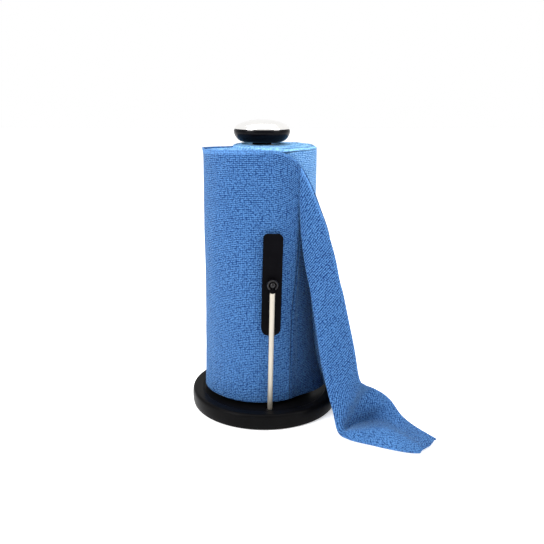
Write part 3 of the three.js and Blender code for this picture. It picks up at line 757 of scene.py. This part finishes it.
# From the tenth key on, the lobe, the valley and the ridge between the selvage and the front fold.
TAIL_LOBE = np.array([
    [105.0, -80.0, 31.0], [119.0, -77.0, 26.0], [132.0, -78.0, 21.0], [142.0, -84.0, 14.5],
    [150.0, -95.0, 9.5], [163.0, -112.0, 5.8], [177.5, -133.0, 3.6],
])
TAIL_VALLEY = np.array([
    [89.0, -93.5, 8.0], [101.0, -87.0, 5.0], [116.0, -82.0, 5.0], [131.0, -91.0, 8.5], [141.0, -105.0, 8.0],
    [155.0, -125.0, 6.0], [170.0, -141.0, 3.8],
])
TAIL_RIDGE = np.array([
    [80.6, -104.0, 7.4], [88.5, -110.5, 8.6], [103.0, -113.5, 10.0], [121.0, -115.5, 11.0],
    [136.5, -122.0, 9.8], [149.5, -138.0, 7.5], [161.5, -149.0, 4.0],
])
LEAVING_AZIMUTH = np.array([36, 37.5, 40, 44, 49, 54, 57.5, 65, 71.5, 75.5, 78.0])
LEAVING_HEIGHT = np.array([294.6, 284, 266, 239, 207, 174, 152, 99, 55, 35, 20.8])
UNDER_EDGE = np.array([
    [98.0, -14.0, 22.4], [114.0, -27.0, 8.0], [120.0, -45.0, 1.3], [128.0, -78.0, 1.3],
    [141.0, -112.0, 1.3], [156.0, -139.0, 1.3],
])
TOP_EDGE = np.array([[-220, 314.2], [-120, 314.0], [-74, 312.6], [-34, 314.6], [-10, 315.4], [8, 314.9],
                     [15, 312.8],
                     [22, 309.6], [26.5, 306.4], [31.5, 302.6], [34.1, 299.4], [36, 294.6], [90, 294.6]])
ROWS_PER_KEY = 9


def crease_line(z):
    """Azimuth and strength, at each height, of the fine crease that runs down the outer turn."""
    line = np.interp(z, [20, 40, 83, 132, 168, 205, 240], [26.4, 26.5, 27.2, 28.4, 31.8, 34.5, 36.5])
    return line, smoothstep(z, 262, 200)


def wrap_radius(azimuth, z):
    """The outer turn's radius: folded flat behind, close in front, loose at the top right, flared low."""
    flare = 15.0 * smoothstep(azimuth, 34, 80) * np.exp(-(z - 20) / 34)
    skirt = (0.9 + 1.4 * smoothstep(azimuth, -50, -80)) * np.exp(-(z - 20) / 40)
    loose = 1.5 * smoothstep(azimuth, -10, 26) * smoothstep(z, 150, 300)
    hem = 1.0 * smoothstep(azimuth, -30, -70) * np.exp(-((314 - z) / 5) ** 2)
    line, depth = crease_line(z)
    groove = -1.5 * np.exp(-(((azimuth - line) / 0.7) ** 2))
    crease = depth * (groove - 1.2 * smoothstep(azimuth, line, line + 7))
    uneven = 0.45 * ripple(azimuth / 38, z / 95, 3) + 0.16 * ripple(azimuth / 9, z / 30, 4)
    return turn_radius(azimuth) + flare + skirt + loose + hem + crease + uneven


def on_roll(azimuth, z):
    """A point on the outer turn: azimuth in degrees from -Y towards +X, at height z."""
    a = np.radians(azimuth)
    r = wrap_radius(azimuth, z)
    return np.stack([ROLL_X + r * np.sin(a), ROLL_Y - r * np.cos(a), z * np.ones_like(r)], -1)


def leaving_line(rows):
    """Azimuth and height at which the cloth leaves the roll, for each row of the first ten keys."""
    weights = spline_weights(len(LEAVING_AZIMUTH), rows)
    return weights @ LEAVING_AZIMUTH, weights @ LEAVING_HEIGHT


def loose_controls():
    """Control points (key, place across, xyz): selvage, swell, front fold, hidden folds, inner edge."""
    keys = len(FRONT_FOLD)
    inner = np.vstack([on_roll(LEAVING_AZIMUTH, LEAVING_HEIGHT), UNDER_EDGE])
    outer, fold = OUTER_SELVAGE, FRONT_FOLD
    span = outer - fold
    width = np.linalg.norm(span, axis=1, keepdims=True)
    right = span * [1, 1, 0] / np.maximum(np.linalg.norm(span * [1, 1, 0], axis=1, keepdims=True), 1e-6)
    forward = np.stack([right[:, 1], -right[:, 0], 0 * right[:, 0]], -1)
    tail = smoothstep(np.arange(keys), 8.5, 11.0)[:, None]
    swell = forward * width * 0.10 * (1 - tail)
    back = inner - fold
    amp = np.minimum(width, 40) * (1 - tail)
    front = [
        outer - span * 0.28 + swell * 0.8,
        outer - span * 0.62 + swell,
        outer - span * 0.87 + swell * 0.6,
    ]
    for line, tail_line in zip(front, (TAIL_LOBE, TAIL_VALLEY, TAIL_RIDGE)):
        line[10:] = tail_line
    hidden = [
        fold + back * 0.06 + right * amp * 0.10,
        fold + back * 0.25 + right * amp * 0.80,
        fold + back * 0.40 + right * amp * 0.22,
        fold + back * 0.62 + right * amp * 0.85,
        fold + back * 0.82 + right * amp * 0.22,
    ]
    for line in hidden:
        line[11:, 2] = 1.3
    return np.stack([outer, *front, fold, *hidden, inner], 1)


def nearest_to_base_axis(points):
    """Least distance from the base's axis that points on the roll reach, at rest and at both stops."""
    x, y = points[..., 0] - ROLL_X, points[..., 1] - ROLL_Y
    reach = []
    for turn in np.radians(ROLL_STOPS):
        turned_x = ROLL_X + x * np.cos(turn) - y * np.sin(turn)
        turned_y = ROLL_Y + x * np.sin(turn) + y * np.cos(turn)
        reach.append(np.hypot(turned_x, turned_y))
    return np.min(reach, axis=0)


def add_loose_cloth():
    """The outer turn and its loose end as one sheet: two grids joined where the cloth leaves the roll."""
    controls = loose_controls()
    keys, across = controls.shape[:2]
    rows = np.linspace(0, keys - 1, (keys - 1) * ROWS_PER_KEY + 1)
    cols = np.linspace(0, across - 1, 121)
    surface = np.einsum("rk,kmx,cm->rcx", spline_weights(keys, rows), controls, spline_weights(across, cols))
    crumple = ripple(rows[:, None] / 1.3, cols[None, :] / 1.5, 21) * 0.9
    crumple = crumple + 0.35 * ripple(rows[:, None] * 1.1, cols[None, :] * 1.4, 22)
    fade = smoothstep(rows, 0.3, 3)[:, None] * smoothstep(cols, across - 1, across - 2)[None, :]
    surface[..., 0] += crumple * fade * 0.5
    surface[..., 1] -= crumple * fade * 0.8
    on_edge = rows <= 10
    azimuth, height = leaving_line(rows[on_edge])
    surface[on_edge, -1] = on_roll(azimuth, height)
    from_axis = nearest_to_base_axis(surface)
    over_rim = ABOVE_RIM * smoothstep(from_axis, 97.0, 90.5) * smoothstep(rows, 7.0, 8.0)[:, None]
    surface[..., 2] = np.maximum(surface[..., 2], np.maximum(over_rim, 1.2))

    step_across = np.linalg.norm(np.diff(surface, axis=1), axis=2)
    run_across = np.concatenate([np.zeros((len(rows), 1)), np.cumsum(step_across, 1)], 1)
    step_down = np.linalg.norm(np.diff(surface[:, 30], axis=0), axis=1)
    run_down = np.concatenate([[0], np.cumsum(step_down)])[:, None] + 40
    twill = [run_down + run_across, run_across - run_down]
    uv_loose = np.stack([np.broadcast_to(part, run_across.shape) * 0.7071 for part in twill], -1)
    # The outer selvage goes paler, partly its own paler edge at the top and partly painted sheen along the
    # drape's rounded right edge further down.
    hem_and_sheen_loose = np.exp(-((run_across / 2.4) ** 2)) * (0.3 + 0.7 * smoothstep(rows, 4, 1))[:, None]
    in_strip = smoothstep(cols, 2.7, 3.1) * smoothstep(cols, 4.7, 4.3)
    strip_loose = smoothstep(rows, 10.0, 11.5)[:, None] * in_strip[None, :]

    near = 20.0
    far_row = np.linspace(-205.0, near, FAR_COLUMNS, endpoint=False)
    far_part = np.broadcast_to(far_row, (len(azimuth), FAR_COLUMNS))
    near_part = near + np.linspace(0, 1, NEAR_COLUMNS)[None, :] * (azimuth[:, None] - near)
    azimuths = np.hstack([far_part, near_part])
    top = np.interp(azimuths, TOP_EDGE[:, 0], TOP_EDGE[:, 1])
    top = top + 0.55 * ripple(azimuths / 11, 0 * azimuths, 31) * smoothstep(azimuths, -25, -45)
    share_down = ((LEAVING_HEIGHT[0] - height) / (LEAVING_HEIGHT[0] - LEAVING_HEIGHT[-1]))[:, None]
    bottom = LEAVING_HEIGHT[-1] - 0.4 * smoothstep(azimuths, 70, 20)
    z = top + share_down * (bottom - top)
    turn = on_roll(azimuths, z)
    turn[:, -1] = surface[on_edge, -1]
    uv_turn = np.stack([np.radians(azimuths) * WRAP_RADIUS, 295 - (top - z)], -1)

    # The turn's top edge goes paler in a band, partly the selvage's own paler edge and partly painted light
    # on the rim.
    hem_height = 4.6 - 2.2 * smoothstep(azimuths, -20, 10)
    hem_and_sheen_turn = 0.5 * smoothstep(top - z, hem_height + 1.2, hem_height - 0.8)
    line, depth = crease_line(z)
    # Painted shade: a dark patch in the tail's valley, a dark line down the crease, and a darker band right
    # of the crease where the drape shades the roll.
    at_valley = ((rows[:, None] - 12.0) / 1.4) ** 2 + ((cols[None, :] - 2.0) / 0.5) ** 2
    valley_shade = 0.5 * np.exp(-at_valley)
    right_of_line = smoothstep(azimuths, line - 1, line + 4)
    crease_shadow_line = 1.15 * np.exp(-(((azimuths - line) / 0.85) ** 2))
    crease_shade_turn = depth * np.maximum(crease_shadow_line, 0.22 * right_of_line)
    masks = {
        "hem": np.concatenate([hem_and_sheen_loose.ravel(), hem_and_sheen_turn.ravel()]),
        "strip": np.concatenate([strip_loose.ravel(), 0 * hem_and_sheen_turn.ravel()]),
        "painted_shade_mask": np.concatenate([valley_shade.ravel(), crease_shade_turn.ravel()]),
    }

    verts = np.vstack([surface.reshape(-1, 3), turn.reshape(-1, 3)])
    uv = np.vstack([uv_loose.reshape(-1, 2), uv_turn.reshape(-1, 2)])
    faces_loose = grid_faces(len(rows), surface.shape[1])
    loose_count = surface.shape[0] * surface.shape[1]
    faces_turn = grid_faces(turn.shape[0], turn.shape[1], offset=loose_count)[:, ::-1]
    all_faces = np.vstack([faces_loose, faces_turn])
    piece = make_piece("loose_cloth", verts, all_faces, CLOTH, "roll", uv, 0, masks)
    work = bmesh.new()
    work.from_mesh(piece.data)
    bmesh.ops.remove_doubles(work, verts=work.verts, dist=1e-6)
    bmesh.ops.recalc_face_normals(work, faces=work.faces)
    work.to_mesh(piece.data)
    work.free()
    wall = piece.modifiers.new("thickness", "SOLIDIFY")
    wall.thickness = 1.3 * MM
    wall.offset = 0.0
    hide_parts("loose_sheet")


def paint_frame():
    """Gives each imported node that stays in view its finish."""
    finishes = {
        "black_plastic": PAD_BLACK, "steel": ROD_STEEL, "plain_steel": PLAIN_STEEL, "iron": CAST_IRON,
        "rubber": RUBBER, "brass": BRASS, "cardboard": CARDBOARD, "cloth": CLOTH,
    }
    for part in frame["record"]["subparts"]:
        mesh = frame["nodes"][part["node"]].data
        mesh.materials.clear()
        mesh.materials.append(finishes[part["material_slot"]])


# ---- stage ----
def add_stage():
    """The pale floor."""
    floor_material, tree, shader, coords = new_material("pale_floor", 0.6)
    pale_stops = [(0.3, (0.93, 0.93, 0.93)), (0.7, (0.96, 0.96, 0.96))]
    tint = ramp(tree, noise(tree, coords.outputs["Object"], 3.0), pale_stops)
    tree.links.new(tint, shader.inputs["Base Color"])
    shader.inputs["Emission Color"].default_value = (1, 1, 1, 1)
    shader.inputs["Emission Strength"].default_value = 0.55
    half = 6000.0
    corners = np.array([[-half, -half, -0.1], [half, -half, -0.1], [half, half, -0.1], [-half, half, -0.1]])
    mesh = bpy.data.meshes.new("floor")
    mesh.from_pydata((corners * MM).tolist(), [], [[0, 1, 2, 3]])
    mesh.materials.append(floor_material)
    floor = bpy.data.objects.new("floor", mesh)
    bpy.context.scene.collection.objects.link(floor)


def add_light(name, place, target, size, power, colour=(1, 1, 1)):
    """One area lamp aimed at a point."""
    data = bpy.data.lights.new(name, "AREA")
    data.shape = "RECTANGLE"
    data.size, data.size_y = size
    data.energy = power
    data.color = colour
    lamp = bpy.data.objects.new(name, data)
    direction = Vector(target) - Vector(place)
    aim = direction.to_track_quat("-Z", "Y").to_matrix().to_4x4()
    lamp.matrix_world = Matrix.Translation(Vector(place)) @ aim
    bpy.context.scene.collection.objects.link(lamp)


def add_lights():
    """Soft boxes at both sides, the left stronger, one overhead, and a backdrop dimmer than it looks."""
    add_light("left_softbox", (-1.3, -0.9, 1.1), (0, 0, 0.15), (0.9, 1.4), 30)
    add_light("right_softbox", (1.4, -0.8, 1.0), (0, 0, 0.15), (0.9, 1.4), 15)
    add_light("overhead", (0.0, 0.1, 1.9), (0, 0, 0.1), (1.6, 1.6), 34)
    world = bpy.data.worlds.new("studio")
    world.use_nodes = True
    tree = world.node_tree
    paths = tree.nodes.new("ShaderNodeLightPath")
    seen = math_node(tree, "MAXIMUM", paths.outputs["Is Camera Ray"], paths.outputs["Is Glossy Ray"])
    strength = math_node(tree, "MULTIPLY_ADD", seen, 0.5, 0.5)
    background = tree.nodes["Background"]
    background.inputs["Color"].default_value = (1, 1, 1, 1)
    tree.links.new(strength, background.inputs["Strength"])
    bpy.context.scene.world = world
    bpy.context.scene.view_settings.view_transform = "Standard"


def add_camera():
    """Placed at the height, distance and turn that give the object's own outlines."""
    data = bpy.data.cameras.new("camera")
    data.sensor_width = 36.0
    data.lens = 44.41
    data.clip_end = 100.0
    camera = bpy.data.objects.new("camera", data)
    place = Matrix.Translation(Vector((-60.84, -781.58, 377.8)) * MM)
    turn = Matrix.Rotation(math.radians(-5.07), 4, "Z") @ Matrix.Rotation(math.radians(90 - 15.19), 4, "X")
    camera.matrix_world = place @ turn @ Matrix.Rotation(math.radians(0.41), 4, "Z")
    bpy.context.scene.collection.objects.link(camera)
    bpy.context.scene.camera = camera


add_camera()
add_stage()
add_lights()
paint_frame()
add_base()
add_post()
add_knob()
add_arm()
add_pad()
add_wound_roll()
add_loose_cloth()
